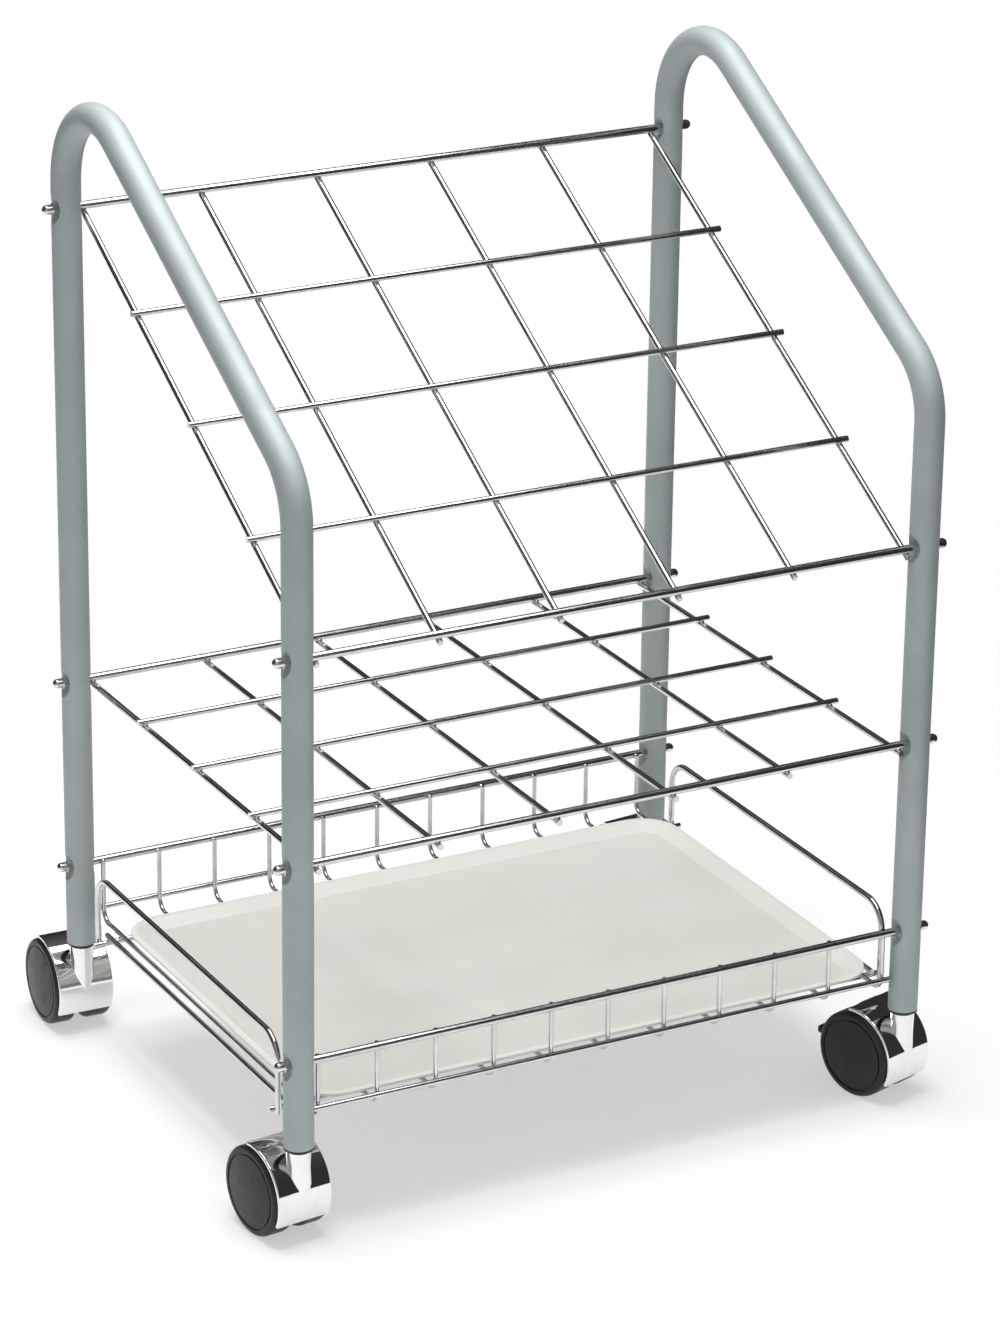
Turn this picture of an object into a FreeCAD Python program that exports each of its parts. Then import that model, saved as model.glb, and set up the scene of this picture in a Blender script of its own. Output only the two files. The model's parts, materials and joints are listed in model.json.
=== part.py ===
import FreeCAD, Part
import math
import os

Vec = FreeCAD.Vector

# A wire roll-file cart: two bent-tube side frames, two wire grids that part the
# rolls, a wire basket with a loose tray, and four hooded twin-wheel casters.
# Lengths are in millimetres, angles in degrees. X runs across the cart, Y from
# front to rear and Z up from the floor.

# Compartments and overall layout
column_count = 5
row_count = 4
column_pitch = 78.9
row_pitch = 79.5
grid_side_gap = 0.6

# Side frames, each one bent tube
tube_diameter = 18.5
tube_wall = 1.2
slope_angle = 29.5
slope_above_grid = 104.5
front_bend_radius = 45.0
apex_bend_radius = 52.0

# Dents pressed into both sides of a tube where a rod passes through it
dent_depth = 4.0
dent_seat_diameter = 9.0
dent_mouth_diameter = 19.0
stud_hole_clearance = 0.15

# Cross rods with turned-down threaded ends, and their cap nuts
rod_diameter = 5.0
stud_diameter = 4.0
nut_flats = 6.6
nut_hex_height = 4.0
nut_height = 10.5
nut_dome_diameter = 6.0
nut_thread_depth = 7.2
nut_thread_fit = 0.05
nut_end_gap = 0.3

# Heights of the grids and of the basket's top rails above the tubes' feet
upper_front_rise = 306.5
middle_rise = 179.0
rail_rise = 53.5

# Grid wires
grid_wire_diameter = 3.8
lengthwise_overhang = 3.5
crosswise_overhang = 5.0

# Basket wires, with their heights above the tubes' feet
u_wire_count = 11
u_wire_side_gap = 3.5
u_wire_diameter = 3.0
u_wire_bottom_rise = 13.5
u_wire_bend_radius = 8.0
lower_wire_diameter = 3.5
lower_wire_rise = 21.0
lower_wire_end_gap = 0.5
end_frame_wire_diameter = 4.0
end_frame_leg_inset = 27.5
end_frame_rise = 57.0
end_frame_bend_radius = 17.0
floor_wire_diameter = 3.5
floor_wire_overhang = 2.5
side_wire_diameter = 3.5
side_wire_inset = 6.0

# Loose tray
tray_side_gap = 10.0
tray_front_gap = 3.5
tray_rear_gap = 25.5
tray_height = 7.2
tray_thickness = 2.0
tray_lip_width = 4.0
tray_lip_thickness = 1.8
tray_lip_radius = 0.7
tray_wall_run_width = 8.0
tray_corner_radius = 26.0
tray_seat_gap = 0.3

# Caster sockets and stems
socket_flange = 1.5
socket_headroom = 2.9
socket_length = 30.0
socket_fit = 0.05
stem_diameter = 8.0
stem_running_fit = 0.05
stem_end_gap = 2.0
stem_seat_depth = 8.0
ring_height = 2.0
ring_thickness = 0.95
ring_fit = 0.05
ring_end_distance = 5.0
ring_split_width = 2.0

# Casters
wheel_diameter = 56.0
wheel_trail_length = 23.0
caster_half_width = 21.6
hood_half_width = 18.4
hood_wall = 1.6
hood_clearance = 1.0
hood_edge_radius = 0.8
hood_rear_angle = 80.0
hood_front_angle = 205.0
hood_top_gap = 0.4
web_half_width = 3.9
web_hub_diameter = 15.0
boss_diameter = 15.0
boss_chamfer = 0.8
axle_diameter = 6.0
axle_running_fit = 0.05
axle_length = 36.0
axle_end_gap = 0.5

# Caster wheels
wheel_side_gap = 0.4
wheel_edge_radius = 3.0
wheel_dome_height = 1.6
wheel_dome_flat_diameter = 5.0
wheel_hub_diameter = 15.0
wheel_rim_thickness = 4.5
wheel_recess_depth = 6.5
wheel_groove_diameter = 45.0
wheel_groove_width = 1.2
wheel_groove_depth = 0.7

# Brake levers on the front casters
lever_pivot_inset = 7.0
lever_pivot_angle = 52.0
lever_side_gap = 0.6
lever_cheek_gap = 0.3
lever_eye_diameter = 7.4
lever_arm_width = 6.0
lever_slot_diameter = 11.0
pedal_gap = 3.0
pedal_half_width = 11.0
pedal_length = 8.0
pedal_thickness = 3.0
pedal_corner_radius = 4.0
pedal_edge_radius = 0.8
pin_diameter = 3.0
pin_fit = 0.05
lug_diameter = 7.4
lug_half_width = 1.6

# Rest directions of the casters: side, end, turn about the stem, brake
casters = {
    "front_left": (-1, -1, 7.0, True),
    "front_right": (1, -1, 16.0, True),
    "rear_left": (-1, 1, -1.5, False),
    "rear_right": (1, 1, 6.0, False),
}

# How far a cutting shape runs past the face it opens
overrun_length = 2.0

# Places that follow from the sizes above
slope = math.radians(slope_angle)
depth = row_count * row_pitch
grid_width = column_count * column_pitch
frame_spacing = grid_width + grid_wire_diameter + 2 * grid_side_gap + tube_diameter
end_frame_leg_spacing = depth - 2 * end_frame_leg_inset
front_y = -depth / 2
rear_y = depth / 2
frame_x = frame_spacing / 2
tube_radius = tube_diameter / 2
axle_height = wheel_diameter / 2
lever_pivot_radius = wheel_diameter / 2 - lever_pivot_inset
hood_inner_radius = wheel_diameter / 2 + hood_clearance
hood_outer_radius = hood_inner_radius + hood_wall
socket_bottom = axle_height + hood_outer_radius + socket_headroom
foot_height = socket_bottom + socket_flange
upper_front_height = foot_height + upper_front_rise
middle_height = foot_height + middle_rise
rail_height = foot_height + rail_rise
u_wire_bottom_height = foot_height + u_wire_bottom_rise
lower_wire_height = foot_height + lower_wire_rise
end_frame_height = foot_height + end_frame_rise
upper_rear_height = upper_front_height + depth * math.tan(slope)
front_corner_height = upper_front_height + slope_above_grid
u_wire_reach = frame_x - tube_radius - u_wire_side_gap - u_wire_diameter / 2
u_wire_y = (depth - rod_diameter - u_wire_diameter) / 2
tray_half_width = frame_x - end_frame_wire_diameter / 2 - tray_side_gap
tray_front = tray_front_gap + u_wire_diameter / 2 - u_wire_y
tray_rear = u_wire_y - u_wire_diameter / 2 - tray_rear_gap
tray_bottom = u_wire_bottom_height + u_wire_diameter / 2 + tray_seat_gap
tray_foot_inset = tray_lip_width + tray_wall_run_width
inner_seat_x = frame_x - tube_radius + dent_depth
outer_seat_x = frame_x + tube_radius - dent_depth
boss_top = socket_bottom - hood_top_gap
stem_top = foot_height + socket_length - stem_end_gap
wheel_back = web_half_width + wheel_side_gap
lever_half_width = wheel_back - lever_side_gap
pedal_root = wheel_diameter / 2 + pedal_gap

rod_places = {
    "upper_front": (front_y, upper_front_height),
    "upper_rear": (rear_y, upper_rear_height),
    "middle_front": (front_y, middle_height),
    "middle_rear": (rear_y, middle_height),
    "basket_front": (front_y, rail_height),
    "basket_rear": (rear_y, rail_height),
}


# Bars and bent bars


def bar(start, end, diameter):
    run = end - start
    return Part.makeCylinder(diameter / 2, run.Length, start, run)


def bent_path(points, bend_radii):
    edges = []
    here = points[0]
    for before, corner, after, radius in zip(points, points[1:], points[2:], bend_radii):
        incoming = (corner - before).normalize()
        outgoing = (after - corner).normalize()
        half_turn = incoming.getAngle(outgoing) / 2
        reach = radius * math.tan(half_turn)
        begin = corner - incoming * reach
        finish = corner + outgoing * reach
        inward = (outgoing - incoming).normalize()
        middle = corner + inward * (radius / math.cos(half_turn) - radius)
        edges.append(Part.LineSegment(here, begin).toShape())
        edges.append(Part.Arc(begin, middle, finish).toShape())
        here = finish
    edges.append(Part.LineSegment(here, points[-1]).toShape())
    return Part.Wire(edges)


def bent_bar(points, bend_radii, diameter):
    path = bent_path(points, bend_radii)
    ring = Part.Wire(Part.makeCircle(diameter / 2, points[0], points[1] - points[0]))
    return path.makePipeShell([ring], True, False)


# Side frames


def frame_bar(x, diameter, below):
    apex = front_corner_height + depth * math.tan(slope)
    points = [
        Vec(x, front_y, foot_height - below),
        Vec(x, front_y, front_corner_height),
        Vec(x, rear_y, apex),
        Vec(x, rear_y, foot_height - below),
    ]
    return bent_bar(points, [front_bend_radius, apex_bend_radius], diameter)


def dent(x, y, z, face, wall):
    # A frustum that widens away from the tube's axis; a wall moves it in by the tube's thickness
    flare = (dent_mouth_diameter - dent_seat_diameter) / 2 / dent_depth
    seat_radius = dent_seat_diameter / 2 + wall * (math.hypot(1, flare) - flare)
    height = dent_depth + wall + overrun_length
    seat = Vec(x + face * (tube_radius - dent_depth - wall), y, z)
    return Part.makeCone(seat_radius, seat_radius + flare * height, height, seat, Vec(face, 0, 0))


def stud_hole(x, y, z):
    half = Vec(tube_diameter, 0, 0)
    centre = Vec(x, y, z)
    return bar(centre - half, centre + half, stud_diameter + 2 * stud_hole_clearance)


def side_frame(side):
    x = side * frame_x
    places = [(x, y, z, face) for y, z in rod_places.values() for face in (-1, 1)]
    skin = frame_bar(x, tube_diameter, 0)
    bore = frame_bar(x, tube_diameter - 2 * tube_wall, overrun_length)
    skin = skin.cut([dent(x, y, z, face, 0) for x, y, z, face in places])
    bore = bore.cut([dent(x, y, z, face, tube_wall) for x, y, z, face in places])
    holes = [stud_hole(x, y, z) for y, z in rod_places.values()]
    return skin.cut(bore).cut(holes)


# Rods and nuts that tie the side frames together


def cross_rod(y, z):
    stud_end = outer_seat_x + nut_thread_depth
    middle = bar(Vec(-inner_seat_x, y, z), Vec(inner_seat_x, y, z), rod_diameter)
    studs = bar(Vec(-stud_end, y, z), Vec(stud_end, y, z), stud_diameter)
    return middle.fuse(studs).removeSplitter()


def cap_nut(side, y, z):
    corner_radius = nut_flats / math.sqrt(3)
    turns = [math.radians(60 * i) for i in range(6)]
    corners = [Vec(0, corner_radius * math.cos(t), corner_radius * math.sin(t)) for t in turns]
    hexagon = Part.Face(Part.makePolygon(corners + corners[:1]))
    flats = hexagon.extrude(Vec(nut_hex_height, 0, 0))
    dome_radius = nut_dome_diameter / 2
    dome_centre = Vec(nut_height - dome_radius, 0, 0)
    barrel = bar(Vec(0, 0, 0), dome_centre, nut_dome_diameter)
    dome = Part.makeSphere(dome_radius, dome_centre)
    thread = bar(Vec(-overrun_length, 0, 0), Vec(nut_thread_depth + nut_end_gap, 0, 0),
                 stud_diameter + 2 * nut_thread_fit)
    nut = flats.fuse([barrel, dome]).removeSplitter().cut(thread)
    if side < 0:
        nut.rotate(Vec(0, 0, 0), Vec(0, 0, 1), 180)
    nut.translate(Vec(side * outer_seat_x, y, z))
    return nut


# Wire grids: lengthwise wires under the rods, cross wires on top of them


def grid(front_height, rear_height):
    front = Vec(0, front_y, front_height)
    rear = Vec(0, rear_y, rear_height)
    along = (rear - front).normalize()
    up = Vec(1, 0, 0).cross(along)
    drop = (rod_diameter + grid_wire_diameter) / 2
    lengthwise = []
    for i in range(column_count + 1):
        offset = Vec(i * column_pitch - grid_width / 2, 0, 0) - up * drop
        start = front + offset - along * lengthwise_overhang
        end = rear + offset + along * lengthwise_overhang
        lengthwise.append(bar(start, end, grid_wire_diameter))
    crosswise = []
    reach = Vec(grid_width / 2 + crosswise_overhang, 0, 0)
    for i in range(1, row_count):
        centre = front + (rear - front) * (i / row_count) - up * (drop - grid_wire_diameter)
        crosswise.append(bar(centre - reach, centre + reach, grid_wire_diameter))
    return Part.makeCompound(lengthwise), Part.makeCompound(crosswise)


# Basket


def u_wires():
    top = rail_height + u_wire_diameter / 4
    wires = []
    for i in range(u_wire_count):
        x = u_wire_reach * (2 * i / (u_wire_count - 1) - 1)
        points = [
            Vec(x, -u_wire_y, top),
            Vec(x, -u_wire_y, u_wire_bottom_height),
            Vec(x, u_wire_y, u_wire_bottom_height),
            Vec(x, u_wire_y, top),
        ]
        wires.append(bent_bar(points, [u_wire_bend_radius, u_wire_bend_radius], u_wire_diameter))
    return Part.makeCompound(wires)


def lower_wires():
    wall_y = (depth - rod_diameter + lower_wire_diameter) / 2
    reach = Vec(frame_x - tube_radius - lower_wire_end_gap, 0, 0)
    centres = [Vec(0, end * wall_y, lower_wire_height) for end in (-1, 1)]
    return Part.makeCompound([bar(c - reach, c + reach, lower_wire_diameter) for c in centres])


def end_frame(side):
    x = side * frame_x
    leg_y = end_frame_leg_spacing / 2
    bottom = u_wire_bottom_height - u_wire_diameter / 2 - floor_wire_diameter
    points = [
        Vec(x, -leg_y, bottom),
        Vec(x, -leg_y, end_frame_height),
        Vec(x, leg_y, end_frame_height),
        Vec(x, leg_y, bottom),
    ]
    return bent_bar(points, [end_frame_bend_radius, end_frame_bend_radius], end_frame_wire_diameter)


def side_wires():
    reach = Vec(0, end_frame_leg_spacing / 2, 0)
    x = frame_x - side_wire_inset
    z = u_wire_bottom_height + (side_wire_diameter - u_wire_diameter) / 2
    centres = [Vec(side * x, 0, z) for side in (-1, 1)]
    return Part.makeCompound([bar(c - reach, c + reach, side_wire_diameter) for c in centres])


def floor_wires():
    y = (end_frame_leg_spacing - end_frame_wire_diameter - floor_wire_diameter) / 2
    z = u_wire_bottom_height - (u_wire_diameter + floor_wire_diameter) / 2
    reach = Vec(frame_x + end_frame_wire_diameter / 2 + floor_wire_overhang, 0, 0)
    centres = [Vec(0, end * y, z) for end in (-1, 1)]
    return Part.makeCompound([bar(c - reach, c + reach, floor_wire_diameter) for c in centres])


# Tray: a flat floor set in a flared rim


def tray_outline(inset, z):
    half_x = tray_half_width - inset
    low_y = tray_front + inset
    high_y = tray_rear - inset
    radius = tray_corner_radius - inset
    bulge = radius * (1 - math.sqrt(0.5))
    corners = [(1, low_y, 1), (1, high_y, -1), (-1, high_y, -1), (-1, low_y, 1)]
    edges = []
    ends = []
    for sx, y, sy in corners:
        along_x = Vec(sx * (half_x - radius), y, z)
        along_y = Vec(sx * half_x, y + sy * radius, z)
        middle = Vec(sx * (half_x - bulge), y + sy * bulge, z)
        first, last = (along_x, along_y) if sx * sy > 0 else (along_y, along_x)
        edges.append(Part.Arc(first, middle, last).toShape())
        ends.append((first, last))
    for i in range(len(corners)):
        edges.append(Part.LineSegment(ends[i][1], ends[(i + 1) % len(ends)][0]).toShape())
    return Part.Wire(Part.__sortEdges__(edges))


def tray_floor():
    return Part.Face(tray_outline(tray_foot_inset, tray_bottom)).extrude(Vec(0, 0, tray_thickness))


def tray_rim():
    top = tray_bottom + tray_height
    outer = Part.makeLoft([tray_outline(tray_foot_inset - tray_thickness, tray_bottom),
                           tray_outline(tray_lip_width - tray_thickness, top)], True, True)
    lip = Part.Face(tray_outline(0, top - tray_lip_thickness)).extrude(Vec(0, 0, tray_lip_thickness))
    brim = [edge for edge in lip.Edges if edge.BoundBox.ZLength < tray_lip_radius]
    lip = lip.makeFillet(tray_lip_radius, brim)
    inside = Part.makeLoft([tray_outline(tray_foot_inset, tray_bottom + tray_thickness),
                            tray_outline(tray_lip_width, top)], True, True)
    return outer.fuse(lip).removeSplitter().cut([inside, tray_floor()])


# Casters, made with the stem on the Z axis and the wheels trailing towards +Y


def wheel_point(radius, angle):
    turn = math.radians(angle)
    return Vec(0, wheel_trail_length + radius * math.cos(turn), axle_height + radius * math.sin(turn))


def wheel_disc(diameter, start_x, end_x):
    return bar(wheel_point(0, 0) + Vec(start_x, 0, 0), wheel_point(0, 0) + Vec(end_x, 0, 0), diameter)


def pie(radius, start_angle, end_angle, half_width):
    centre = wheel_point(0, 0)
    start = wheel_point(radius, start_angle)
    middle = wheel_point(radius, (start_angle + end_angle) / 2)
    end = wheel_point(radius, end_angle)
    edges = [
        Part.LineSegment(centre, start).toShape(),
        Part.Arc(start, middle, end).toShape(),
        Part.LineSegment(end, centre).toShape(),
    ]
    face = Part.Face(Part.Wire(edges))
    face.translate(Vec(-half_width, 0, 0))
    return face.extrude(Vec(2 * half_width, 0, 0))


def socket():
    sleeve = bar(Vec(0, 0, socket_bottom), Vec(0, 0, foot_height + socket_length),
                 tube_diameter - 2 * tube_wall - 2 * socket_fit)
    flange = bar(Vec(0, 0, socket_bottom), Vec(0, 0, foot_height), tube_diameter)
    bore = bar(Vec(0, 0, socket_bottom - overrun_length),
               Vec(0, 0, foot_height + socket_length + overrun_length),
               stem_diameter + 2 * stem_running_fit)
    return sleeve.fuse(flange).removeSplitter().cut(bore)


def ring_band():
    top = stem_top - ring_end_distance
    return Vec(0, 0, top - ring_height), Vec(0, 0, top)


def stem():
    low, high = ring_band()
    pin = bar(Vec(0, 0, boss_top - stem_seat_depth), Vec(0, 0, stem_top), stem_diameter)
    band = bar(low - Vec(0, 0, ring_fit), high + Vec(0, 0, ring_fit), stem_diameter + overrun_length)
    core = bar(low - Vec(0, 0, ring_fit), high + Vec(0, 0, ring_fit),
               stem_diameter - 2 * ring_thickness - 2 * ring_fit)
    return pin.cut(band.cut(core))


def grip_ring():
    low, high = ring_band()
    ring = bar(low, high, stem_diameter)
    hollow = bar(low - Vec(0, 0, overrun_length), high + Vec(0, 0, overrun_length),
                 stem_diameter - 2 * ring_thickness)
    split = Part.makeBox(ring_split_width, stem_diameter, ring_height + 2 * overrun_length,
                         low - Vec(ring_split_width / 2, 0, overrun_length))
    return ring.cut([hollow, split])


def hood_shell():
    # The hood's round-edged section, turned about the axle from its rear edge to its front edge
    half = hood_half_width
    edge = hood_edge_radius
    bulge = edge * (1 - math.sqrt(0.5))
    low, high = hood_inner_radius, hood_outer_radius
    rise = Vec(0, 0, 1)
    left_low, right_low = Vec(-half, 0, low), Vec(half, 0, low)
    left_high, right_high = Vec(-half, 0, high), Vec(half, 0, high)
    inward = Vec(edge, 0, 0)
    left_round = Part.Arc(left_high - rise * edge, left_high + Vec(bulge, 0, -bulge), left_high + inward)
    right_round = Part.Arc(right_high - inward, right_high - Vec(bulge, 0, bulge), right_high - rise * edge)
    edges = [
        Part.LineSegment(left_low, left_high - rise * edge).toShape(),
        left_round.toShape(),
        Part.LineSegment(left_high + inward, right_high - inward).toShape(),
        right_round.toShape(),
        Part.LineSegment(right_high - rise * edge, right_low).toShape(),
        Part.LineSegment(right_low, left_low).toShape(),
    ]
    section = Part.Face(Part.Wire(edges))
    section.rotate(Vec(0, 0, 0), Vec(1, 0, 0), hood_rear_angle - 90)
    shell = section.revolve(Vec(0, 0, 0), Vec(1, 0, 0), hood_front_angle - hood_rear_angle)
    shell.translate(wheel_point(0, 0))
    return shell


def stem_boss():
    boss = bar(Vec(0, 0, axle_height), Vec(0, 0, boss_top), boss_diameter)
    rim = [edge for edge in boss.Edges if edge.BoundBox.ZMin > boss_top - boss_chamfer]
    return boss.makeChamfer(boss_chamfer, rim)


def hood(has_brake):
    web_radius = (hood_inner_radius + hood_outer_radius) / 2
    web = pie(web_radius, hood_rear_angle, hood_front_angle, web_half_width)
    spaces = []
    for side in (-1, 1):
        outside = side * (caster_half_width + overrun_length)
        spaces.append(wheel_disc(2 * hood_inner_radius, side * web_half_width, outside))
    body = hood_shell().fuse([web, stem_boss().cut(spaces)])
    body = body.fuse(wheel_disc(web_hub_diameter, -web_half_width, web_half_width))
    if has_brake:
        body = body.fuse(brake_lug())
    axle_hole = wheel_disc(axle_diameter, -caster_half_width, caster_half_width)
    stem_hole = bar(Vec(0, 0, boss_top - stem_seat_depth), Vec(0, 0, boss_top + overrun_length),
                    stem_diameter)
    body = body.cut([axle_hole, stem_hole])
    return body.removeSplitter()


def axle():
    return wheel_disc(axle_diameter, -axle_length / 2, axle_length / 2)


def wheel(side):
    radius = wheel_diameter / 2
    back = wheel_back
    face = caster_half_width - wheel_dome_height
    bore_radius = axle_diameter / 2 + axle_running_fit
    bore_end = axle_length / 2 + axle_end_gap
    hub_radius = wheel_hub_diameter / 2
    rim_radius = radius - wheel_rim_thickness
    groove_radius = wheel_groove_diameter / 2
    edge = wheel_edge_radius
    round_in = edge * (1 - math.sqrt(0.5))

    def at(x, r):
        return Vec(x, r, 0)

    def line(*places):
        return [Part.LineSegment(a, b).toShape() for a, b in zip(places, places[1:])]

    edges = line(at(bore_end, 0), at(bore_end, bore_radius), at(back, bore_radius), at(back, hub_radius),
                 at(back + wheel_recess_depth, hub_radius), at(back + wheel_recess_depth, rim_radius),
                 at(back, rim_radius), at(back, radius - edge))
    edges.append(Part.Arc(at(back, radius - edge), at(back + round_in, radius - round_in),
                          at(back + edge, radius)).toShape())
    edges += line(at(back + edge, radius), at(face - edge, radius))
    edges.append(Part.Arc(at(face - edge, radius), at(face - round_in, radius - round_in),
                          at(face, radius - edge)).toShape())
    edges += line(at(face, radius - edge), at(face, groove_radius + wheel_groove_width),
                  at(face - wheel_groove_depth, groove_radius + wheel_groove_width),
                  at(face - wheel_groove_depth, groove_radius), at(face, groove_radius))
    flat_radius = wheel_dome_flat_diameter / 2
    dome_radius = (groove_radius ** 2 + wheel_dome_height ** 2) / (2 * wheel_dome_height)

    def dome_at(r):
        return at(face + math.sqrt(dome_radius ** 2 - r ** 2) - dome_radius + wheel_dome_height, r)

    edges.append(Part.Arc(at(face, groove_radius), dome_at((groove_radius + flat_radius) / 2),
                          dome_at(flat_radius)).toShape())
    crown = dome_at(flat_radius).x
    edges += line(at(crown, flat_radius), at(crown, 0), at(bore_end, 0))
    turned = Part.Face(Part.Wire(edges)).revolve(Vec(0, 0, 0), Vec(1, 0, 0), 360)
    if side < 0:
        turned.rotate(Vec(0, 0, 0), Vec(0, 0, 1), 180)
    turned.translate(wheel_point(0, 0))
    return turned


# Brake: a pedal behind the wheels, on an arm that turns on a pin in a lug of the hood's web


def lever_pivot():
    return wheel_point(lever_pivot_radius, lever_pivot_angle)


def pivot_bar(half_width, diameter):
    half = Vec(half_width, 0, 0)
    return bar(lever_pivot() - half, lever_pivot() + half, diameter)


def strut(start, end, half_width, width):
    # A flat arm of the given width between two points of the wheel's plane
    run = end - start
    arm = Part.makeBox(2 * half_width, run.Length, width, Vec(-half_width, 0, -width / 2))
    arm.rotate(Vec(0, 0, 0), Vec(1, 0, 0), math.degrees(math.atan2(run.z, run.y)))
    arm.translate(start)
    return arm


def brake_lug():
    arm = strut(wheel_point(0, 0), lever_pivot(), lug_half_width, lug_diameter)
    eye = pivot_bar(lug_half_width, lug_diameter)
    return eye.fuse(arm).cut(pivot_bar(lug_half_width + overrun_length, pin_diameter))


def brake_pin():
    return pivot_bar(lever_half_width, pin_diameter)


def brake_pedal():
    pedal = Part.makeBox(2 * pedal_half_width, pedal_length, pedal_thickness,
                         Vec(-pedal_half_width, pedal_root, 0))
    far = [edge for edge in pedal.Edges if edge.BoundBox.YMin > pedal_root + pedal_length / 2]
    upright = [edge for edge in far if edge.BoundBox.ZLength > edge.BoundBox.XLength]
    pedal = pedal.makeFillet(pedal_corner_radius, upright)
    top = [edge for edge in pedal.Edges if edge.BoundBox.ZMin > pedal_thickness / 2]
    pedal = pedal.makeFillet(pedal_edge_radius, top)
    pedal.translate(wheel_point(0, 0))
    return pedal


def brake_lever():
    root = wheel_point(pedal_root, 0) + Vec(0, pedal_thickness, pedal_thickness / 2)
    arm = strut(lever_pivot(), root, lever_half_width, lever_arm_width)
    below = Part.makeBox(2 * pedal_half_width, pedal_length, lever_arm_width,
                         wheel_point(pedal_root, 0) - Vec(pedal_half_width, pedal_gap, lever_arm_width))
    eye = pivot_bar(lever_half_width, lever_eye_diameter)
    lever = eye.fuse([arm.cut(below), brake_pedal()]).removeSplitter()
    slot = pivot_bar(lug_half_width + lever_cheek_gap, lever_slot_diameter)
    hole = pivot_bar(lever_half_width + overrun_length, pin_diameter + 2 * pin_fit)
    return lever.cut([slot, hole])


def caster_pieces(has_brake):
    pieces = {
        "socket": socket(),
        "stem": stem(),
        "grip_ring": grip_ring(),
        "hood": hood(has_brake),
        "axle": axle(),
        "left_wheel": wheel(-1),
        "right_wheel": wheel(1),
    }
    if has_brake:
        pieces["brake_pin"] = brake_pin()
        pieces["brake_lever"] = brake_lever()
    return pieces


# The whole cart, by node


def cart():
    nodes = {"left_side_frame": side_frame(-1), "right_side_frame": side_frame(1)}
    for name, (y, z) in rod_places.items():
        nodes[name + ("_rail" if name.startswith("basket") else "_rod")] = cross_rod(y, z)
    for word, side in (("left", -1), ("right", 1)):
        nuts = [cap_nut(side, y, z) for y, z in rod_places.values()]
        nodes[word + "_cap_nuts"] = Part.makeCompound(nuts)
        nodes["basket_" + word + "_end_frame"] = end_frame(side)
    nodes["upper_sloping_wires"], nodes["upper_cross_wires"] = grid(upper_front_height, upper_rear_height)
    nodes["middle_lengthwise_wires"], nodes["middle_cross_wires"] = grid(middle_height, middle_height)
    nodes["basket_u_wires"] = u_wires()
    nodes["basket_lower_wires"] = lower_wires()
    nodes["basket_side_wires"] = side_wires()
    nodes["basket_floor_wires"] = floor_wires()
    nodes["tray_floor"] = tray_floor()
    nodes["tray_rim"] = tray_rim()
    for place, (side, end, turn, has_brake) in casters.items():
        for name, piece in caster_pieces(has_brake).items():
            if name != "socket":
                piece.rotate(Vec(0, 0, 0), Vec(0, 0, 1), turn)
            piece.translate(Vec(side * frame_x, end * depth / 2, 0))
            nodes[place + "_" + name] = piece
    return nodes


def centre_shift(nodes):
    box = Part.makeCompound(list(nodes.values())).optimalBoundingBox(False, False)
    return Vec(-box.Center.x, -box.Center.y, 0)


os.makedirs("parts", exist_ok=True)
nodes = cart()
shift = centre_shift(nodes)
print("shift to the centre of the cart's box:", shift.x, shift.y)
for name, shape in nodes.items():
    shape.translate(shift)
    shape.exportStep("parts/" + name + ".step")
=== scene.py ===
import json
import math

import bpy
from mathutils import Matrix, Vector


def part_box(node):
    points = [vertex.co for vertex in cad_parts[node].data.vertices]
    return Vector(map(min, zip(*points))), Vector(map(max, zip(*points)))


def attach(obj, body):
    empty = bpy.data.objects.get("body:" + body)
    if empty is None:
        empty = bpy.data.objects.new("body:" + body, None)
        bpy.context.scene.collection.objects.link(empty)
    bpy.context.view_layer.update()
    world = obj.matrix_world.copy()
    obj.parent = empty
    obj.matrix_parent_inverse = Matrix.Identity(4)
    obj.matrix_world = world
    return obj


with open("model.json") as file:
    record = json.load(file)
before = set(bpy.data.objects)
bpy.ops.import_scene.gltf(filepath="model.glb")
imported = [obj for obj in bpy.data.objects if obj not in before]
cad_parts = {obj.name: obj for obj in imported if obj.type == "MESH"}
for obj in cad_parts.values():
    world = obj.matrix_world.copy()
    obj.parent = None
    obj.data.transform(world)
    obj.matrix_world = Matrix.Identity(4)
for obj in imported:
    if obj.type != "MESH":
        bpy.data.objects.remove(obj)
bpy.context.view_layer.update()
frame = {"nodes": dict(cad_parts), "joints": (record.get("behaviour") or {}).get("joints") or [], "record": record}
nodes = frame["nodes"]
scene = bpy.context.scene
scene.view_settings.view_transform = "Standard"
print("frame loaded:", len(nodes), "nodes")


# small helpers for shader trees

def newMaterial(name):
    mat = bpy.data.materials.new(name)
    mat.use_nodes = True
    tree = mat.node_tree
    tree.nodes.clear()
    out = tree.nodes.new("ShaderNodeOutputMaterial")
    skin = tree.nodes.new("ShaderNodeBsdfPrincipled")
    tree.links.new(skin.outputs["BSDF"], out.inputs["Surface"])
    return mat, tree, skin


def setSurface(tree, shader):
    out = next(node for node in tree.nodes if node.type == "OUTPUT_MATERIAL")
    tree.links.new(shader, out.inputs["Surface"])


def newGlow(name):
    mat, tree, skin = newMaterial(name)
    tree.nodes.remove(skin)
    glow = tree.nodes.new("ShaderNodeEmission")
    setSurface(tree, glow.outputs["Emission"])
    return mat, glow


def objectPoints(tree, stretch=(1, 1, 1)):
    coords = tree.nodes.new("ShaderNodeTexCoord")
    mapping = tree.nodes.new("ShaderNodeMapping")
    mapping.inputs["Scale"].default_value = stretch
    tree.links.new(coords.outputs["Object"], mapping.inputs["Vector"])
    return mapping.outputs["Vector"]


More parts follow.
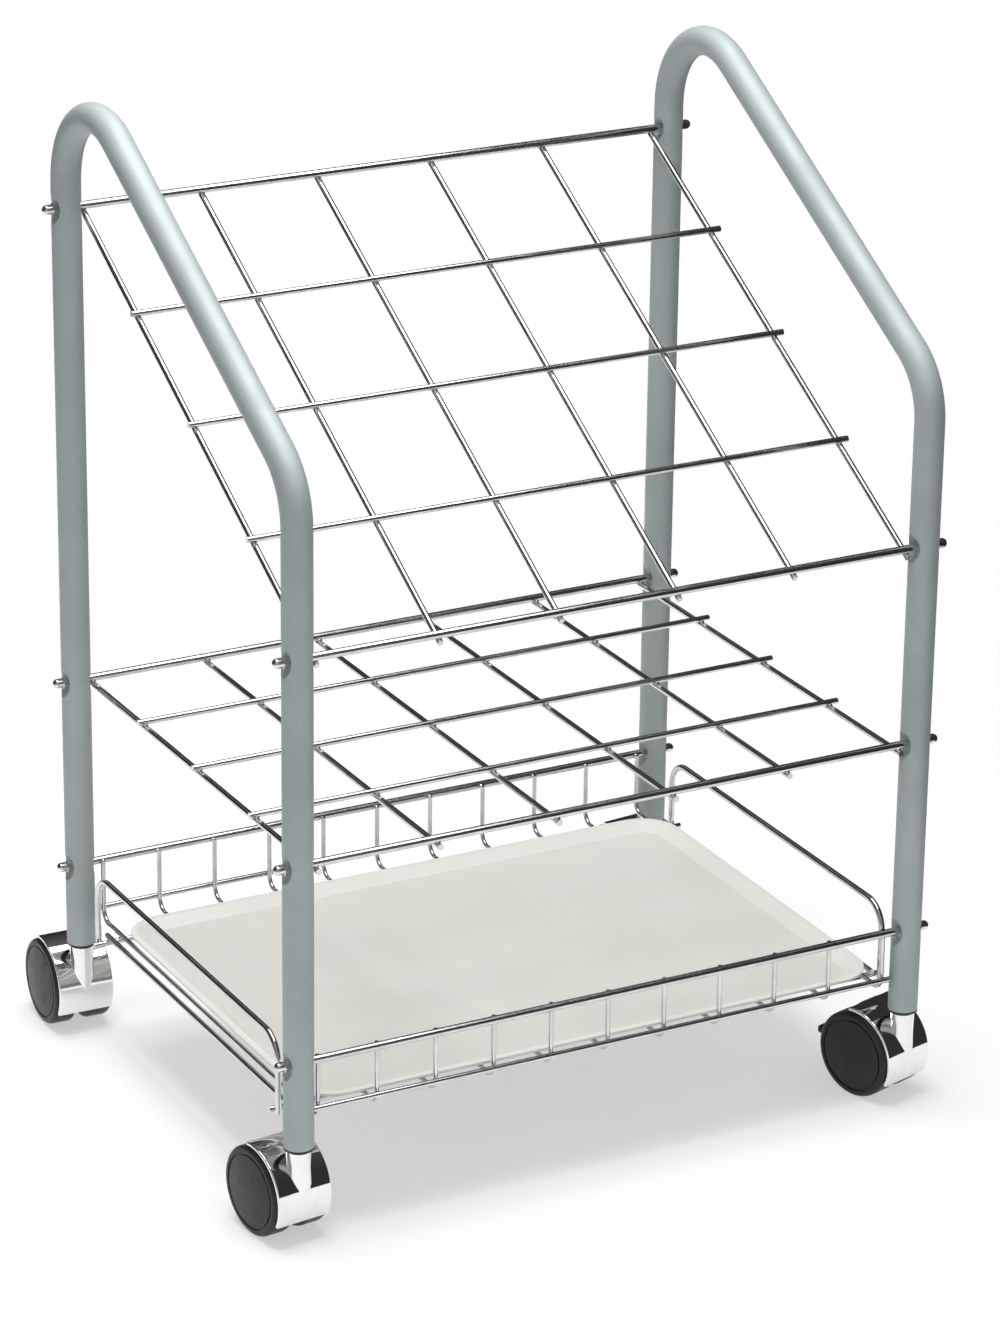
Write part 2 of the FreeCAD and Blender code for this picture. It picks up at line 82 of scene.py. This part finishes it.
def noise(tree, points, scale, detail, rough=0.55):
    node = tree.nodes.new("ShaderNodeTexNoise")
    node.inputs["Scale"].default_value = scale
    node.inputs["Detail"].default_value = detail
    node.inputs["Roughness"].default_value = rough
    tree.links.new(points, node.inputs["Vector"])
    return node.outputs["Fac"]


def specks(tree, points, scale):
    node = tree.nodes.new("ShaderNodeTexVoronoi")
    node.feature = "F1"
    node.inputs["Scale"].default_value = scale
    tree.links.new(points, node.inputs["Vector"])
    return node.outputs["Distance"]


def remap(tree, value, fromRange, toRange):
    node = tree.nodes.new("ShaderNodeMapRange")
    sockets = ("From Min", "From Max", "To Min", "To Max")
    for socket, number in zip(sockets, fromRange + toRange):
        node.inputs[socket].default_value = number
    tree.links.new(value, node.inputs["Value"])
    return node.outputs["Result"]


def blendColours(tree, factor, first, second):
    node = tree.nodes.new("ShaderNodeMix")
    node.data_type = "RGBA"
    tree.links.new(factor, node.inputs["Factor"])
    for socket, colour in ((node.inputs[6], first), (node.inputs[7], second)):  # A and B for colours
        if isinstance(colour, tuple):
            socket.default_value = colour + (1.0,)
        else:
            tree.links.new(colour, socket)
    return node.outputs[2]  # the colour result


def combine(tree, operation, first, second):
    node = tree.nodes.new("ShaderNodeMath")
    node.operation = operation
    tree.links.new(first, node.inputs[0])
    tree.links.new(second, node.inputs[1])
    return node.outputs["Value"]


def mixShaders(tree, factor, first, second):
    node = tree.nodes.new("ShaderNodeMixShader")
    for socket, output in ((node.inputs["Fac"], factor), (node.inputs[1], first), (node.inputs[2], second)):
        tree.links.new(output, socket)
    return node.outputs["Shader"]


def bump(tree, skin, height, distance, strength):
    node = tree.nodes.new("ShaderNodeBump")
    node.inputs["Distance"].default_value = distance
    node.inputs["Strength"].default_value = strength
    tree.links.new(height, node.inputs["Height"])
    tree.links.new(node.outputs["Normal"], skin.inputs["Normal"])


# finishes

midNoise = (0.3, 0.7)  # where most values of a noise texture lie
wholeRange = (0.0, 1.0)

tubePaint = {
    "deep": (0.415, 0.47, 0.478), "pale": (0.475, 0.535, 0.543), "rub": (0.6, 0.64, 0.64),
    "metal": 0.6, "coat": 0.15, "coatRough": 0.25,
    "clouds": {"scale": 14.0, "detail": 4.0},
    "rubs": {"scale": 170.0, "detail": 6.0, "rough": 0.7},
    "rubStretch": (1, 1, 0.15), "rubFrom": (0.66, 0.74), "rubTo": (0.0, 0.55),
    "flakes": {"scale": 2600.0, "detail": 1.0}, "flakeFrom": (0.35, 0.7), "flakeTo": (0.0, 0.28),
    "smears": {"scale": 55.0, "detail": 5.0}, "gloss": (0.67, 0.77),
    "peel": {"scale": 520.0, "detail": 2.0}, "relief": {"distance": 0.00006, "strength": 0.35},
}


def makeTubePaint():
    look = tubePaint
    mat, tree, skin = newMaterial("silverGreyPaint")
    points = objectPoints(tree)
    clouds = remap(tree, noise(tree, points, **look["clouds"]), midNoise, wholeRange)
    base = blendColours(tree, clouds, look["deep"], look["pale"])
    rubs = noise(tree, objectPoints(tree, look["rubStretch"]), **look["rubs"])
    worn = blendColours(tree, remap(tree, rubs, look["rubFrom"], look["rubTo"]), base, look["rub"])
    flakes = noise(tree, points, **look["flakes"])
    glitter = remap(tree, flakes, look["flakeFrom"], look["flakeTo"])
    tree.links.new(blendColours(tree, glitter, worn, look["rub"]), skin.inputs["Base Color"])
    smears = noise(tree, points, **look["smears"])
    tree.links.new(remap(tree, smears, midNoise, look["gloss"]), skin.inputs["Roughness"])
    peel = noise(tree, points, **look["peel"])
    bump(tree, skin, combine(tree, "ADD", peel, flakes), **look["relief"])
    skin.inputs["Metallic"].default_value = look["metal"]
    skin.inputs["Coat Weight"].default_value = look["coat"]
    skin.inputs["Coat Roughness"].default_value = look["coatRough"]
    return mat


plating = {
    "platedWire": {"bright": (0.74, 0.74, 0.73), "dull": (0.55, 0.56, 0.56), "spot": (0.30, 0.28, 0.25),
                   "gloss": (0.13, 0.22), "pitting": 0.5, "drawn": (1, 1, 1)},
    "platedNut": {"bright": (0.80, 0.80, 0.79), "dull": (0.62, 0.63, 0.63), "spot": (0.30, 0.28, 0.25),
                  "gloss": (0.09, 0.18), "pitting": 0.4, "drawn": (1, 1, 1)},
    "platedHood": {"bright": (0.90, 0.90, 0.89), "dull": (0.80, 0.81, 0.81), "spot": (0.45, 0.44, 0.42),
                   "gloss": (0.03, 0.07), "pitting": 0.3, "drawn": (0.2, 1, 1)},
    "clouds": {"scale": 60.0, "detail": 5.0}, "dullFrom": (0.35, 0.75), "glossFrom": (0.3, 0.75),
    "pitScale": 420.0, "pitFrom": (0.05, 0.11),
    "lines": {"scale": 900.0, "detail": 2.0}, "relief": {"distance": 0.00002, "strength": 0.2},
}


def makePlating(name):
    look = plating[name]
    mat, tree, skin = newMaterial(name)
    points = objectPoints(tree)
    clouds = noise(tree, points, **plating["clouds"])
    dulled = remap(tree, clouds, plating["dullFrom"], wholeRange)
    base = blendColours(tree, dulled, look["bright"], look["dull"])
    pits = remap(tree, specks(tree, points, plating["pitScale"]), plating["pitFrom"], (look["pitting"], 0.0))
    tree.links.new(blendColours(tree, pits, base, look["spot"]), skin.inputs["Base Color"])
    tree.links.new(remap(tree, clouds, plating["glossFrom"], look["gloss"]), skin.inputs["Roughness"])
    lines = noise(tree, objectPoints(tree, look["drawn"]), **plating["lines"])
    bump(tree, skin, lines, **plating["relief"])
    skin.inputs["Metallic"].default_value = 1.0
    return mat


ivory = {
    "ivoryFloor": {"pale": (0.66, 0.66, 0.616), "warm": (0.62, 0.615, 0.567), "scuff": (0.53, 0.52, 0.48)},
    # the rim's colours are the floor's ivory painted lighter: painted light on the rim's walls and lip, not a
    # different plastic
    "ivoryRimPaintedLit": {"pale": (0.74, 0.745, 0.695), "warm": (0.7, 0.7, 0.647), "scuff": (0.59, 0.585, 0.54)},
    "patches": {"scale": 9.0, "detail": 4.0}, "patchFrom": (0.3, 0.75),
    "scuffs": {"scale": 210.0, "detail": 6.0, "rough": 0.72},
    "scuffStretch": (1, 0.12, 1), "scuffFrom": (0.68, 0.76), "scuffTo": (0.0, 0.35),
    "smears": {"scale": 30.0, "detail": 4.0}, "gloss": (0.42, 0.6), "shine": 0.4,
    "grain": {"scale": 1500.0, "detail": 2.0}, "relief": {"distance": 0.00008, "strength": 0.45},
}


def makeIvoryPlastic(name):
    look = ivory[name]
    mat, tree, skin = newMaterial(name)
    points = objectPoints(tree)
    patches = remap(tree, noise(tree, points, **ivory["patches"]), ivory["patchFrom"], wholeRange)
    base = blendColours(tree, patches, look["pale"], look["warm"])
    scuffs = noise(tree, objectPoints(tree, ivory["scuffStretch"]), **ivory["scuffs"])
    marks = remap(tree, scuffs, ivory["scuffFrom"], ivory["scuffTo"])
    tree.links.new(blendColours(tree, marks, base, look["scuff"]), skin.inputs["Base Color"])
    smears = noise(tree, points, **ivory["smears"])
    tree.links.new(remap(tree, smears, midNoise, ivory["gloss"]), skin.inputs["Roughness"])
    bump(tree, skin, noise(tree, points, **ivory["grain"]), **ivory["relief"])
    skin.inputs["Specular IOR Level"].default_value = ivory["shine"]
    return mat


darkPlastic = {
    "socketPlastic": {"deep": (0.012, 0.013, 0.013), "pale": (0.02, 0.021, 0.021),
                      "dust": (0.05, 0.05, 0.048), "gloss": (0.4, 0.55), "shine": 0.5},
    "wheelPlastic": {"deep": (0.012, 0.0145, 0.0138), "pale": (0.02, 0.024, 0.0228),
                     "dust": (0.055, 0.058, 0.056), "gloss": (0.3, 0.46), "shine": 0.3},
    "leverPlastic": {"deep": (0.014, 0.015, 0.015), "pale": (0.024, 0.025, 0.025),
                     "dust": (0.06, 0.06, 0.058), "gloss": (0.35, 0.5), "shine": 0.5},
    "clouds": {"scale": 70.0, "detail": 5.0},
    "wear": {"scale": 380.0, "detail": 6.0, "rough": 0.7},
    "wearStretch": (0.3, 1, 1), "wearFrom": (0.6, 0.74), "wearTo": (0.0, 0.5),
    "smears": {"scale": 120.0, "detail": 4.0},
    "grain": {"scale": 1900.0, "detail": 2.0}, "relief": {"distance": 0.00006, "strength": 0.4},
}


def makeDarkPlastic(name):
    look = darkPlastic[name]
    mat, tree, skin = newMaterial(name)
    points = objectPoints(tree)
    clouds = remap(tree, noise(tree, points, **darkPlastic["clouds"]), midNoise, wholeRange)
    base = blendColours(tree, clouds, look["deep"], look["pale"])
    wear = noise(tree, objectPoints(tree, darkPlastic["wearStretch"]), **darkPlastic["wear"])
    marks = remap(tree, wear, darkPlastic["wearFrom"], darkPlastic["wearTo"])
    tree.links.new(blendColours(tree, marks, base, look["dust"]), skin.inputs["Base Color"])
    smears = noise(tree, points, **darkPlastic["smears"])
    tree.links.new(remap(tree, smears, midNoise, look["gloss"]), skin.inputs["Roughness"])
    bump(tree, skin, noise(tree, points, **darkPlastic["grain"]), **darkPlastic["relief"])
    skin.inputs["Specular IOR Level"].default_value = look["shine"]
    return mat


turnedSteel = {
    "pale": (0.5, 0.5, 0.5), "deep": (0.36, 0.36, 0.36), "gloss": (0.25, 0.42),
    "clouds": {"scale": 160.0, "detail": 4.0}, "smears": {"scale": 300.0, "detail": 3.0},
    "cuts": {"scale": 500.0, "detail": 2.0}, "cutStretch": (1, 1, 8),
    "relief": {"distance": 0.00004, "strength": 0.4},
}


def makeTurnedSteel():
    look = turnedSteel
    mat, tree, skin = newMaterial("turnedSteel")
    points = objectPoints(tree)
    clouds = remap(tree, noise(tree, points, **look["clouds"]), midNoise, wholeRange)
    tree.links.new(blendColours(tree, clouds, look["pale"], look["deep"]), skin.inputs["Base Color"])
    smears = noise(tree, points, **look["smears"])
    tree.links.new(remap(tree, smears, midNoise, look["gloss"]), skin.inputs["Roughness"])
    cuts = noise(tree, objectPoints(tree, look["cutStretch"]), **look["cuts"])
    bump(tree, skin, cuts, **look["relief"])
    skin.inputs["Metallic"].default_value = 1.0
    return mat


finishes = {  # by the material slot's name in the record
    "frame_paint": makeTubePaint(),
    "wire_chrome": makePlating("platedWire"),
    "nut_chrome": makePlating("platedNut"),
    "hood_chrome": makePlating("platedHood"),
    "tray_plastic": makeIvoryPlastic("ivoryFloor"),
    "socket_plastic": makeDarkPlastic("socketPlastic"),
    "stem_steel": makeTurnedSteel(),
    "wheel_plastic": makeDarkPlastic("wheelPlastic"),
    "lever_plastic": makeDarkPlastic("leverPlastic"),
}
slotOf = {row["node"]: row["material_slot"] for row in frame["record"]["subparts"]}
for name, piece in nodes.items():
    piece.data.materials.clear()
    piece.data.materials.append(finishes[slotOf[name]])
nodes["tray_rim"].data.materials[0] = makeIvoryPlastic("ivoryRimPaintedLit")  # the rim is painted a little paler than the floor's ivory: painted light, standing in for the light its walls and lip catch
print("finishes set:", len(finishes))


# pieces made with Geometry Nodes

def startTree(name, sizes):
    tree = bpy.data.node_groups.new(name, "GeometryNodeTree")
    kinds = {float: "NodeSocketFloat", int: "NodeSocketInt"}
    tree.interface.new_socket("Geometry", in_out="INPUT", socket_type="NodeSocketGeometry")
    for label, number in sizes.items():
        tree.interface.new_socket(label, in_out="INPUT", socket_type=kinds[type(number)])
    tree.interface.new_socket("Finish", in_out="INPUT", socket_type="NodeSocketMaterial")
    tree.interface.new_socket("Geometry", in_out="OUTPUT", socket_type="NodeSocketGeometry")
    return tree, tree.nodes.new("NodeGroupInput"), tree.nodes.new("NodeGroupOutput")


def endTree(tree, inputs, outputs, instances):
    real = tree.nodes.new("GeometryNodeRealizeInstances")
    smooth = tree.nodes.new("GeometryNodeSetShadeSmooth")
    finish = tree.nodes.new("GeometryNodeSetMaterial")
    tree.links.new(instances, real.inputs["Geometry"])
    tree.links.new(real.outputs["Geometry"], smooth.inputs["Geometry"])
    tree.links.new(smooth.outputs["Geometry"], finish.inputs["Geometry"])
    tree.links.new(inputs.outputs["Finish"], finish.inputs["Material"])
    tree.links.new(finish.outputs["Geometry"], outputs.inputs["Geometry"])


def bakeTree(name, tree, points, sizes, finish):
    start = bpy.data.meshes.new(name + "Start")
    start.from_pydata(points, [], [])
    piece = bpy.data.objects.new(name, start)
    scene.collection.objects.link(piece)
    modifier = piece.modifiers.new("build", "NODES")
    modifier.node_group = tree
    for socket in tree.interface.items_tree:
        if socket.in_out == "INPUT" and socket.name in sizes:
            modifier[socket.identifier] = sizes[socket.name]
        if socket.in_out == "INPUT" and socket.name == "Finish":
            modifier[socket.identifier] = finish
    graph = bpy.context.evaluated_depsgraph_get()
    mesh = bpy.data.meshes.new_from_object(piece.evaluated_get(graph))
    piece.modifiers.remove(modifier)
    piece.data = mesh
    return piece


# weld beads where the wires cross

weldBeads = {
    "sizes": {"Bead Radius": 0.0015, "Bead Flatness": 0.72, "Seed": 11},
    "roundness": 2, "spread": 1.2, "sizeRange": (0.85, 1.15), "tilt": (0.7, 0.7, 6.28),  # radians
    "columns": 6, "rows": 4, "wire": 0.0038, "uWires": 11, "uWire": 0.003,  # counts and thicknesses
}


def evenly(low, high, count):
    return [low + (high - low) * i / (count - 1) for i in range(count)]


def middle(node):
    low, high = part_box(node)
    return (low + high) / 2


def gridWelds(frontRod, rearRod, lengthwise):
    front, rear = middle(frontRod), middle(rearRod)
    front.x = rear.x = 0
    low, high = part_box(frontRod)
    # half a rod's thickness, square to the grid
    drop = Vector((1, 0, 0)).cross((rear - front).normalized()) * (high.z - low.z) / 2
    low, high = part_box(lengthwise)
    inset = weldBeads["wire"] / 2
    points = []
    for x in evenly(low.x + inset, high.x - inset, weldBeads["columns"]):
        for row in range(weldBeads["rows"] + 1):
            points.append(front.lerp(rear, row / weldBeads["rows"]) - drop + Vector((x, 0, 0)))
    return points


def basketWelds():
    low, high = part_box("basket_u_wires")
    inset = weldBeads["uWire"] / 2
    railYs = (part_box("basket_front_rail")[1].y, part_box("basket_rear_rail")[0].y)
    lowerLow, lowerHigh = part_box("basket_lower_wires")
    lowerWire = lowerHigh.z - lowerLow.z
    lowerYs = (lowerLow.y + lowerWire, lowerHigh.y - lowerWire)
    floorLow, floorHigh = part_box("basket_floor_wires")
    floorWire = floorHigh.z - floorLow.z
    floorYs = (floorLow.y + floorWire / 2, floorHigh.y - floorWire / 2)
    railZ, lowerZ = middle("basket_front_rail").z, middle("basket_lower_wires").z
    points = []
    for x in evenly(low.x + inset, high.x - inset, weldBeads["uWires"]):
        points += [Vector((x, y, railZ)) for y in railYs]
        points += [Vector((x, y, lowerZ)) for y in lowerYs]
        points += [Vector((x, y, floorHigh.z)) for y in floorYs]
    floorZ = middle("basket_floor_wires").z
    for node in ("basket_left_end_frame", "basket_right_end_frame"):
        points += [Vector((middle(node).x, y, floorZ)) for y in (floorLow.y, floorHigh.y)]
    sideLow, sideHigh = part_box("basket_side_wires")
    sideWire = sideHigh.z - sideLow.z
    for x in (sideLow.x + sideWire / 2, sideHigh.x - sideWire / 2):
        points += [Vector((x, y, floorHigh.z)) for y in floorYs]
    return points


def makeWeldBeads():
    sizes = weldBeads["sizes"]
    tree, inputs, outputs = startTree("weldBeadTree", sizes)
    ball = tree.nodes.new("GeometryNodeMeshIcoSphere")
    ball.inputs["Subdivisions"].default_value = weldBeads["roundness"]
    tree.links.new(inputs.outputs["Bead Radius"], ball.inputs["Radius"])
    squash = tree.nodes.new("ShaderNodeCombineXYZ")
    squash.inputs["X"].default_value = squash.inputs["Y"].default_value = weldBeads["spread"]
    tree.links.new(inputs.outputs["Bead Flatness"], squash.inputs["Z"])
    flat = tree.nodes.new("GeometryNodeTransform")
    tree.links.new(ball.outputs["Mesh"], flat.inputs["Geometry"])
    tree.links.new(squash.outputs["Vector"], flat.inputs["Scale"])
    turn = tree.nodes.new("FunctionNodeRandomValue")
    turn.data_type = "FLOAT_VECTOR"
    turn.inputs["Max"].default_value = weldBeads["tilt"]
    size = tree.nodes.new("FunctionNodeRandomValue")
    size.data_type = "FLOAT"
    for socket, number in zip((size.inputs[2], size.inputs[3]), weldBeads["sizeRange"]):  # min and max
        socket.default_value = number
    for node in (turn, size):
        tree.links.new(inputs.outputs["Seed"], node.inputs["Seed"])
    put = tree.nodes.new("GeometryNodeInstanceOnPoints")
    tree.links.new(inputs.outputs["Geometry"], put.inputs["Points"])
    tree.links.new(flat.outputs["Geometry"], put.inputs["Instance"])
    tree.links.new(turn.outputs["Value"], put.inputs["Rotation"])
    tree.links.new(size.outputs[1], put.inputs["Scale"])  # the single number
    endTree(tree, inputs, outputs, put.outputs["Instances"])
    points = gridWelds("upper_front_rod", "upper_rear_rod", "upper_sloping_wires")
    points += gridWelds("middle_front_rod", "middle_rear_rod", "middle_lengthwise_wires")
    points += basketWelds()
    beads = bakeTree("weld_beads", tree, points, sizes, finishes["wire_chrome"])
    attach(beads, "cart")
    print("weld beads:", len(points))


makeWeldBeads()


# grip ribs on top of the brake pedals

pedalRibs = {
    "sizes": {"Rib Count": 3, "Rib Pitch": 0.0018, "Rib Length": 0.0155, "Rib Radius": 0.0005},
    "roundness": 10, "firstRib": 0.0332, "topHeight": 0.0030,  # from the wheels' axle
}


def makePedalRibs():
    sizes = pedalRibs["sizes"]
    tree, inputs, outputs = startTree("pedalRibTree", sizes)
    row = tree.nodes.new("GeometryNodeMeshLine")
    step = tree.nodes.new("ShaderNodeCombineXYZ")
    tree.links.new(inputs.outputs["Rib Count"], row.inputs["Count"])
    tree.links.new(inputs.outputs["Rib Pitch"], step.inputs["Y"])
    tree.links.new(step.outputs["Vector"], row.inputs["Offset"])
    spine = tree.nodes.new("GeometryNodeCurvePrimitiveLine")
    spine.mode = "DIRECTION"
    spine.inputs["Direction"].default_value = (1, 0, 0)
    tree.links.new(inputs.outputs["Rib Length"], spine.inputs["Length"])
    ring = tree.nodes.new("GeometryNodeCurvePrimitiveCircle")
    ring.inputs["Resolution"].default_value = pedalRibs["roundness"]
    tree.links.new(inputs.outputs["Rib Radius"], ring.inputs["Radius"])
    rib = tree.nodes.new("GeometryNodeCurveToMesh")
    rib.inputs["Fill Caps"].default_value = True
    tree.links.new(spine.outputs["Curve"], rib.inputs["Curve"])
    tree.links.new(ring.outputs["Curve"], rib.inputs["Profile Curve"])
    put = tree.nodes.new("GeometryNodeInstanceOnPoints")
    tree.links.new(row.outputs["Mesh"], put.inputs["Points"])
    tree.links.new(rib.outputs["Mesh"], put.inputs["Instance"])
    endTree(tree, inputs, outputs, put.outputs["Instances"])
    joints = {joint["name"]: joint for joint in frame["joints"]}
    for place in ("front_left", "front_right"):
        spin = joints[place + "_left_wheel_spin"]
        across = Vector(spin["axis"]).normalized()
        trail = Vector((-across.y, across.x, 0))
        corner = across * (-sizes["Rib Length"] / 2) + trail * pedalRibs["firstRib"]
        corner += Vector(spin["pos_m"]) + Vector((0, 0, pedalRibs["topHeight"]))
        turn = Matrix((across, trail, Vector((0, 0, 1)))).transposed().to_4x4()
        ribs = bakeTree(place + "_pedal_ribs", tree, [(0, 0, 0)], sizes, finishes["lever_plastic"])
        ribs.data.transform(Matrix.Translation(corner) @ turn)
        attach(ribs, place + "_brake_lever")
    print("pedal ribs on both front casters")


makePedalRibs()


# floor, light and surroundings

def stageMesh(name, points, faces):
    mesh = bpy.data.meshes.new(name)
    mesh.from_pydata(points, [], faces)
    piece = bpy.data.objects.new(name, mesh)
    scene.collection.objects.link(piece)
    return piece


def seenDirectly(tree):
    rays = tree.nodes.new("ShaderNodeLightPath")  # camera, shiny and see-through rays
    flag = rays.outputs["Is Camera Ray"]
    for other in ("Is Glossy Ray", "Is Transmission Ray"):
        flag = combine(tree, "MAXIMUM", flag, rays.outputs[other])
    return flag


def seenInChromeAlone(piece):
    # leaves the shiny rays
    for ray in ("visible_camera", "visible_diffuse", "visible_transmission", "visible_shadow"):
        setattr(piece, ray, False)


paleFloor = {"size": 40.0, "colour": 0.93, "rough": 0.9, "shine": 0.1,
             "fadeFrom": (0.45, 1.1), "fadeTo": (0.5, 1.0)}  # white away from the cart


def makeFloor():
    half = paleFloor["size"] / 2
    corners = [(-half, -half, 0), (half, -half, 0), (half, half, 0), (-half, half, 0)]
    floor = stageMesh("studioFloor", corners, [(0, 1, 2, 3)])
    mat, tree, skin = newMaterial("paleFloor")
    skin.inputs["Base Color"].default_value = (paleFloor["colour"],) * 3 + (1.0,)
    skin.inputs["Roughness"].default_value = paleFloor["rough"]
    skin.inputs["Specular IOR Level"].default_value = paleFloor["shine"]
    distance = tree.nodes.new("ShaderNodeVectorMath")
    distance.operation = "LENGTH"
    tree.links.new(objectPoints(tree), distance.inputs[0])
    fade = remap(tree, distance.outputs["Value"], paleFloor["fadeFrom"], paleFloor["fadeTo"])
    share = combine(tree, "MULTIPLY", fade, seenDirectly(tree))
    glow = tree.nodes.new("ShaderNodeEmission")
    setSurface(tree, mixShaders(tree, share, skin.outputs["BSDF"], glow.outputs["Emission"]))
    floor.data.materials.append(mat)


surroundings = {"background": 1.0, "ambient": 0.355}  # what is seen, and what lights the matt surfaces


def makeWorld():
    world = bpy.data.worlds.new("studioWorld")
    world.use_nodes = True
    scene.world = world
    tree = world.node_tree
    tree.nodes.clear()
    out = tree.nodes.new("ShaderNodeOutputWorld")
    skies = {}
    for name, strength in surroundings.items():
        skies[name] = tree.nodes.new("ShaderNodeBackground")
        skies[name].inputs["Color"].default_value = (1.0, 1.0, 1.0, 1.0)
        skies[name].inputs["Strength"].default_value = strength
    shader = mixShaders(tree, seenDirectly(tree), skies["ambient"].outputs["Background"],
                        skies["background"].outputs["Background"])
    tree.links.new(shader, out.inputs["Surface"])


darkTent = {
    "sides": 48, "profile": ((1.7, 0.0), (1.7, 1.7), (1.45, 2.4), (0.02, 2.5)),  # radius and height
    "heights": (0.6, 2.3), "shade": (0.03, 0.10),
    "cardSide": (-0.47, -0.88, 0.0), "cardFrom": (0.9, 1.7), "cardGlow": (0.0, 0.35),
    "flagPlace": 0.46, "flagReach": 1.5, "flagHeight": 1.4,
}


def makeTent():
    profile, sides = darkTent["profile"], darkTent["sides"]
    angles = [2 * math.pi * i / sides for i in range(sides)]
    points = [(r * math.cos(a), r * math.sin(a), z) for r, z in profile for a in angles]
    faces = []
    for ring in range(len(profile) - 1):
        for i in range(sides):
            low, lowNext = ring * sides + i, ring * sides + (i + 1) % sides
            faces.append((low, lowNext, lowNext + sides, low + sides))
    x, y, z = darkTent["flagPlace"], darkTent["flagReach"], darkTent["flagHeight"]
    faces.append(tuple(range(len(points), len(points) + 4)))  # a dark flag close to the right side
    points += [(x, -y, 0), (x, y, 0), (x, y, z), (x, -y, z)]
    tent = stageMesh("darkTent", points, faces)
    seenInChromeAlone(tent)
    mat, glow = newGlow("tentCloth")
    tree = mat.node_tree
    place = objectPoints(tree)
    height = tree.nodes.new("ShaderNodeSeparateXYZ")
    tree.links.new(place, height.inputs[0])
    facing = tree.nodes.new("ShaderNodeVectorMath")  # a pale card on the front left
    facing.operation = "DOT_PRODUCT"
    facing.inputs[1].default_value = darkTent["cardSide"]
    tree.links.new(place, facing.inputs[0])
    cloth = remap(tree, height.outputs["Z"], darkTent["heights"], darkTent["shade"])
    card = remap(tree, facing.outputs["Value"], darkTent["cardFrom"], darkTent["cardGlow"])
    tree.links.new(combine(tree, "ADD", cloth, card), glow.inputs["Strength"])
    tent.data.materials.append(mat)


lightStrip = {"low": (-0.6, -1.1, 2.3), "high": (1.15, 0.9, 2.3), "glow": 4.8}  # opposite corners


def makeLightStrip():
    low, high = Vector(lightStrip["low"]), Vector(lightStrip["high"])
    corners = [low, (low.x, high.y, low.z), high, (high.x, low.y, low.z)]
    strip = stageMesh("lightStrip", corners, [(0, 1, 2, 3)])
    seenInChromeAlone(strip)
    mat, glow = newGlow("stripCloth")
    glow.inputs["Strength"].default_value = lightStrip["glow"]
    strip.data.materials.append(mat)


softbox = {"power": 53.0, "size": (1.1, 1.4), "place": (-0.25, 0.0, 2.3)}


def makeSoftbox():
    lamp = bpy.data.lights.new("overheadSoftbox", "AREA")
    lamp.shape = "RECTANGLE"
    lamp.size, lamp.size_y = softbox["size"]
    lamp.energy = softbox["power"]
    box = bpy.data.objects.new("overheadSoftbox", lamp)  # an area lamp shines along its own -Z
    scene.collection.objects.link(box)
    box.location = softbox["place"]
    box.visible_glossy = False  # shiny surfaces see the strip instead


makeFloor()
makeWorld()
makeTent()
makeLightStrip()
makeSoftbox()
print("studio ready")


# camera, placed from the foot of the front tubes

photoCamera = {"lens": 134.715, "sensor": 36.0, "clip": (0.05, 100.0),
               "place": (-1.34590, -2.35482, 1.34927), "yaw": -28.278, "pitch": 21.804, "roll": 0.757}


def makeCamera():
    low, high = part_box("left_side_frame")
    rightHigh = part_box("right_side_frame")[1]
    tubeRadius = (high.x - low.x) / 2
    anchor = Vector(((low.x + rightHigh.x) / 2, low.y + tubeRadius, low.z))
    yaw, pitch, roll = (math.radians(photoCamera[turn]) for turn in ("yaw", "pitch", "roll"))
    ahead = Vector((-math.sin(yaw) * math.cos(pitch), math.cos(yaw) * math.cos(pitch), -math.sin(pitch)))
    right = Vector((math.cos(yaw), math.sin(yaw), 0))
    up = right.cross(ahead)
    side = right * math.cos(roll) + up * math.sin(roll)
    top = up * math.cos(roll) - right * math.sin(roll)
    data = bpy.data.cameras.new("photoCamera")
    data.lens = photoCamera["lens"]
    data.sensor_width = photoCamera["sensor"]
    data.clip_start, data.clip_end = photoCamera["clip"]
    camera = bpy.data.objects.new("photoCamera", data)
    scene.collection.objects.link(camera)
    turn = Matrix((side, top, -ahead)).transposed().to_4x4()
    camera.matrix_world = Matrix.Translation(anchor + Vector(photoCamera["place"])) @ turn
    scene.camera = camera


makeCamera()
print("camera ready")
